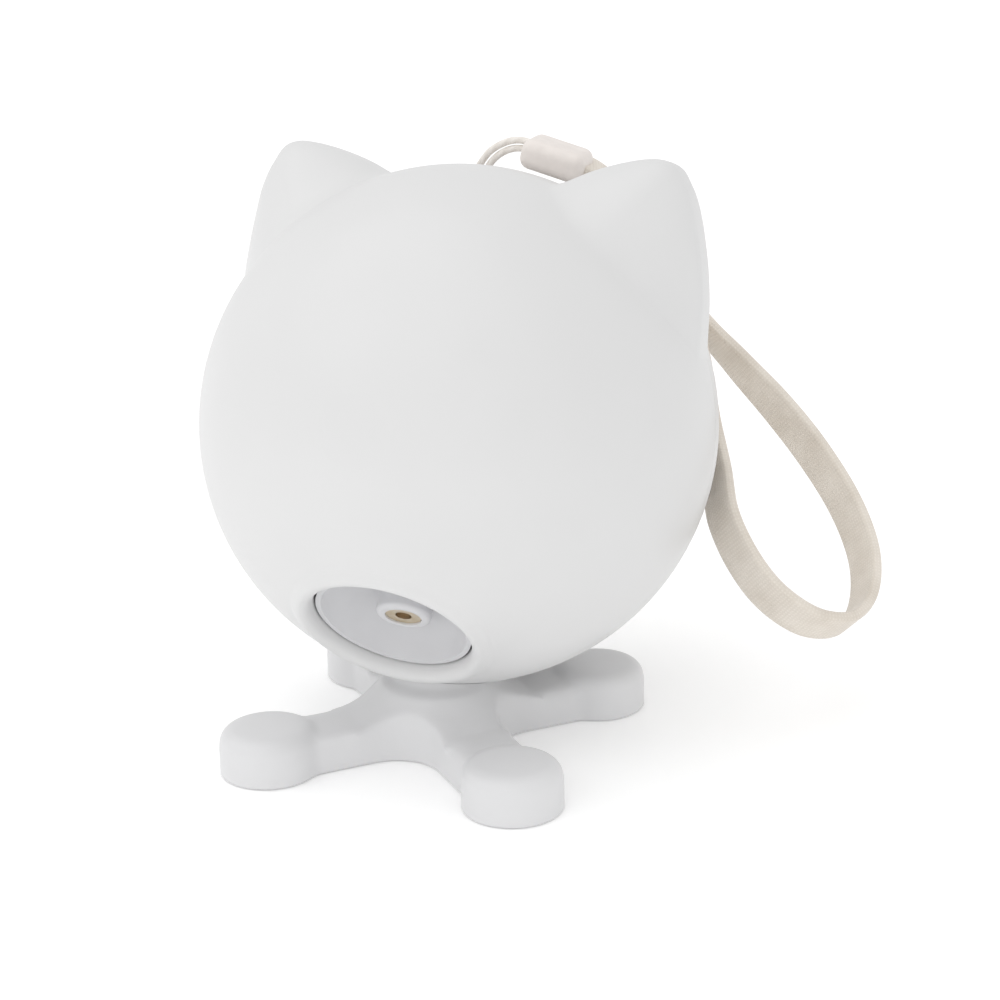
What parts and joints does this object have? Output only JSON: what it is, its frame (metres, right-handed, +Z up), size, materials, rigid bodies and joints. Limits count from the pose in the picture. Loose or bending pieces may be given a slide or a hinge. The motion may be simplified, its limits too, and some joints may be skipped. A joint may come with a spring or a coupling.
{
  "type": "automatic cat laser toy",
  "caption": "Ball-shaped cat-eared head with a turning laser window, on a low four-legged stand, with a flat hanging strap looped behind.",
  "frame": {"origin": "centre of the stand on the ground, under the middle foot pad", "axes": "+Z up, the laser window and the front of the head face -Y, +X to the right seen from above with the front at the bottom"},
  "size_m": [0.1126, 0.0892, 0.0981],
  "materials": {
    "shell_white": "satin gloss",
    "inner_white": "satin",
    "turret_grey": "satin",
    "gear_ivory": "satin",
    "steel": "satin",
    "can_steel": "satin",
    "black_plastic": "satin",
    "brass": "polished",
    "board_green": "satin",
    "board_copper": "satin",
    "cell_wrap": "gloss",
    "lens": "clear",
    "strap_cloth": "fine weave",
    "clasp_rubber": "soft touch",
    "cord_cloth": "braided",
    "pad_rubber": "matte"
  },
  "bodies": {
    "stand": {"stand_body": "shell_white", "stand_cover": "inner_white", "stand_screws": "steel", "foot_pads": "pad_rubber"},
    "post": {"swivel_post": "can_steel", "post_washer": "steel", "post_screw": "steel"},
    "turret": {"turret": "turret_grey", "laser_barrel": "brass", "laser_lens": "lens", "turret_gear": "gear_ivory", "slip_disc": "board_copper"},
    "idler": {"idler_gear": "gear_ivory"},
    "pinion": {"motor_pinion": "brass"},
    "button": {"power_button": "turret_grey", "switch_plunger": "black_plastic"},
    "door": {"battery_door": "shell_white", "door_screw": "steel"},
    "strap": {"hang_strap": "strap_cloth", "strap_clasp": "clasp_rubber", "lanyard_cord": "cord_cloth"},
    "head": {"front_shell": "shell_white", "rear_shell": "shell_white", "shell_screws": "steel", "socket_bush": "inner_white", "chassis": "inner_white", "chassis_screws": "steel", "motor_can": "can_steel", "motor_cap": "black_plastic", "motor_screws": "steel", "idler_pin": "steel", "contact_brushes": "brass", "main_board": "board_green", "board_screws": "steel", "board_chips": "black_plastic", "switch_board": "board_green", "tact_switch": "black_plastic", "battery_box": "inner_white", "battery_cells": "cell_wrap", "cell_springs": "steel", "cell_contacts": "steel", "strap_pin": "steel"}
  },
  "joints": [
    {"name": "head_swivel", "type": "hinge", "parent": "stand", "child": "post", "pos_m": [0, 0, 0.0037], "axis": [0, 0.2588, 0.9659], "continuous": true},
    {"name": "head_lift", "type": "slide", "parent": "post", "child": "head", "axis": [0, 0.2588, 0.9659], "range_m": [0, 0.018]},
    {"name": "turret_spin", "type": "hinge", "parent": "head", "child": "turret", "pos_m": [0, 0.01299, 0.05219], "axis": [0, -0.7848, -0.6198], "continuous": true},
    {"name": "idler_spin", "type": "hinge", "parent": "head", "child": "idler", "pos_m": [0, 0.00407, 0.06349], "axis": [0, -0.7848, -0.6198], "continuous": true},
    {"name": "motor_spin", "type": "hinge", "parent": "head", "child": "pinion", "pos_m": [0, -0.00337, 0.07291], "axis": [0, -0.7848, -0.6198], "continuous": true},
    {"name": "button_press", "type": "slide", "parent": "head", "child": "button", "axis": [0, -0.9205, -0.3907], "range_m": [0, 0.0005], "stiffness_N_per_m": 1500, "springref_m": -0.0003},
    {"name": "door_pull", "type": "slide", "parent": "head", "child": "door", "axis": [0, 0.9659, -0.2588], "range_m": [0, 0.03]},
    {"name": "strap_swing", "type": "hinge", "parent": "head", "child": "strap", "pos_m": [-0.004, 0.03432, 0.08768], "axis": [0, -0.8572, 0.515], "range_deg": [0, 50]}
  ],
  "couplings": [
    {"joint": "idler_spin", "follows": "turret_spin", "ratio": -3},
    {"joint": "motor_spin", "follows": "turret_spin", "ratio": 7}
  ]
}
